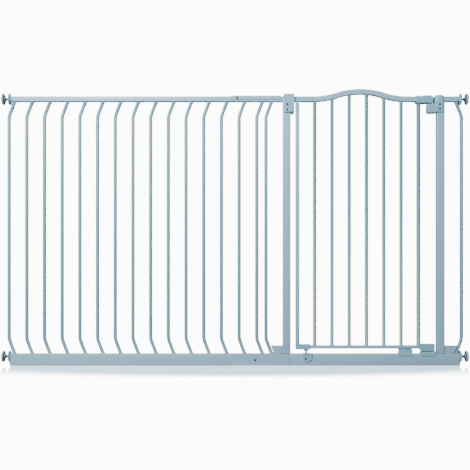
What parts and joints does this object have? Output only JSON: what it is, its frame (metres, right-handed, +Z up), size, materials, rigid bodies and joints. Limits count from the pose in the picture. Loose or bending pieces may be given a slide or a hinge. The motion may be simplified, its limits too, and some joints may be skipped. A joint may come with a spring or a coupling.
{
  "type": "safety baby gate",
  "caption": "Extra-wide pressure-fit safety gate with a curved-top two-way door, a bent-bar extension panel and hand-turned wall spindles.",
  "frame": {"origin": "on the floor, midway between the wall pads, in the plane of the bars", "axes": "+X along the gate towards the latch side's wall, +Y to the back, +Z up"},
  "size_m": [1.75, 0.044, 1.038],
  "materials": {
    "powder_coated_steel": "satin powder coat, light blue-grey",
    "moulded_plastic": "fine-grained moulded plastic, blue-grey",
    "dark_zinc_steel": "black-passivated fasteners and spindles",
    "bright_zinc_steel": "bright zinc plate on pins and springs"
  },
  "bodies": {
    "frame": {"threshold_rail": "powder_coated_steel", "hinge_post": "powder_coated_steel", "latch_post": "powder_coated_steel", "post_caps": "moulded_plastic", "hinge_side_top_rail": "powder_coated_steel", "latch_side_top_rail": "powder_coated_steel", "hinge_side_outer_bar": "powder_coated_steel", "latch_side_outer_bar": "powder_coated_steel", "hinge_side_gusset": "powder_coated_steel", "latch_side_gusset": "powder_coated_steel", "extension_top_rail": "powder_coated_steel", "extension_bottom_rail": "powder_coated_steel", "extension_bars": "powder_coated_steel", "top_connector": "powder_coated_steel", "bottom_connector": "powder_coated_steel", "connector_bolts": "dark_zinc_steel", "upper_hinge_bracket": "moulded_plastic", "lower_hinge_socket": "moulded_plastic", "bracket_screws": "dark_zinc_steel", "catch_bracket": "moulded_plastic", "floor_catch": "moulded_plastic", "door_rest_block": "moulded_plastic", "top_tube_bushes": "moulded_plastic", "bottom_tube_bushes": "moulded_plastic"},
    "hinge_carrier": {"upper_hinge_arm": "moulded_plastic", "upper_hinge_pin": "bright_zinc_steel", "lower_hinge_pin": "bright_zinc_steel"},
    "door": {"door_top_rail": "powder_coated_steel", "door_bottom_rail": "powder_coated_steel", "door_hinge_stile": "powder_coated_steel", "door_latch_stile": "powder_coated_steel", "door_bar_1": "powder_coated_steel", "door_bar_2": "powder_coated_steel", "door_bar_3": "powder_coated_steel", "door_bar_4": "powder_coated_steel", "door_bar_5": "powder_coated_steel", "door_bar_6": "powder_coated_steel", "door_upper_hinge_block": "moulded_plastic", "door_lower_hinge_block": "moulded_plastic", "door_closing_spring": "bright_zinc_steel", "handle_front_shell": "moulded_plastic", "handle_back_shell": "moulded_plastic", "handle_screws": "dark_zinc_steel", "bolt_spring": "bright_zinc_steel", "latch_foot": "moulded_plastic"},
    "bolt_slide": {"thumb_slider": "moulded_plastic", "latch_bolt": "moulded_plastic"},
    "nut_top_left": {"hand_nut_top_left": "moulded_plastic"},
    "spindle_top_left": {"spindle_top_left": "dark_zinc_steel", "wall_pad_top_left": "moulded_plastic"},
    "nut_bottom_left": {"hand_nut_bottom_left": "moulded_plastic"},
    "spindle_bottom_left": {"spindle_bottom_left": "dark_zinc_steel", "wall_pad_bottom_left": "moulded_plastic"},
    "nut_top_right": {"hand_nut_top_right": "moulded_plastic"},
    "spindle_top_right": {"spindle_top_right": "dark_zinc_steel", "wall_pad_top_right": "moulded_plastic"},
    "nut_bottom_right": {"hand_nut_bottom_right": "moulded_plastic"},
    "spindle_bottom_right": {"spindle_bottom_right": "dark_zinc_steel", "wall_pad_bottom_right": "moulded_plastic"}
  },
  "joints": [
    {"name": "door_lift", "type": "slide", "parent": "frame", "child": "hinge_carrier", "axis": [0, 0, 1], "range_m": [0, 0.005]},
    {"name": "door_swing", "type": "hinge", "parent": "hinge_carrier", "child": "door", "pos_m": [0.267, 0, 0], "axis": [0, 0, 1], "range_deg": [-90, 90], "stiffness_Nm_per_rad": 1.2},
    {"name": "thumb_slide", "type": "slide", "parent": "door", "child": "bolt_slide", "axis": [1, 0, 0], "range_m": [-0.008, 0], "stiffness_N_per_m": 250, "springref_m": 0.004, "deforming": ["bolt_spring"]},
    {"name": "nut_turn_top_left", "type": "hinge", "parent": "frame", "child": "nut_top_left", "pos_m": [-0.8475, 0, 1], "axis": [-1, 0, 0], "range_deg": [-905, 3605]},
    {"name": "spindle_travel_top_left", "type": "slide", "parent": "frame", "child": "spindle_top_left", "axis": [-1, 0, 0], "range_m": [-0.005, 0.02]},
    {"name": "nut_turn_bottom_left", "type": "hinge", "parent": "frame", "child": "nut_bottom_left", "pos_m": [-0.8475, 0, 0.033], "axis": [-1, 0, 0], "range_deg": [-905, 3605]},
    {"name": "spindle_travel_bottom_left", "type": "slide", "parent": "frame", "child": "spindle_bottom_left", "axis": [-1, 0, 0], "range_m": [-0.005, 0.02]},
    {"name": "nut_turn_top_right", "type": "hinge", "parent": "frame", "child": "nut_top_right", "pos_m": [0.8475, 0, 1], "axis": [1, 0, 0], "range_deg": [-905, 3605]},
    {"name": "spindle_travel_top_right", "type": "slide", "parent": "frame", "child": "spindle_top_right", "axis": [1, 0, 0], "range_m": [-0.005, 0.02]},
    {"name": "nut_turn_bottom_right", "type": "hinge", "parent": "frame", "child": "nut_bottom_right", "pos_m": [0.8475, 0, 0.033], "axis": [1, 0, 0], "range_deg": [-905, 3605]},
    {"name": "spindle_travel_bottom_right", "type": "slide", "parent": "frame", "child": "spindle_bottom_right", "axis": [1, 0, 0], "range_m": [-0.005, 0.02]}
  ],
  "couplings": [
    {"joint": "nut_turn_top_left", "follows": "spindle_travel_top_left", "rad_per_m": 3141.6},
    {"joint": "nut_turn_bottom_left", "follows": "spindle_travel_bottom_left", "rad_per_m": 3141.6},
    {"joint": "nut_turn_top_right", "follows": "spindle_travel_top_right", "rad_per_m": 3141.6},
    {"joint": "nut_turn_bottom_right", "follows": "spindle_travel_bottom_right", "rad_per_m": 3141.6}
  ]
}
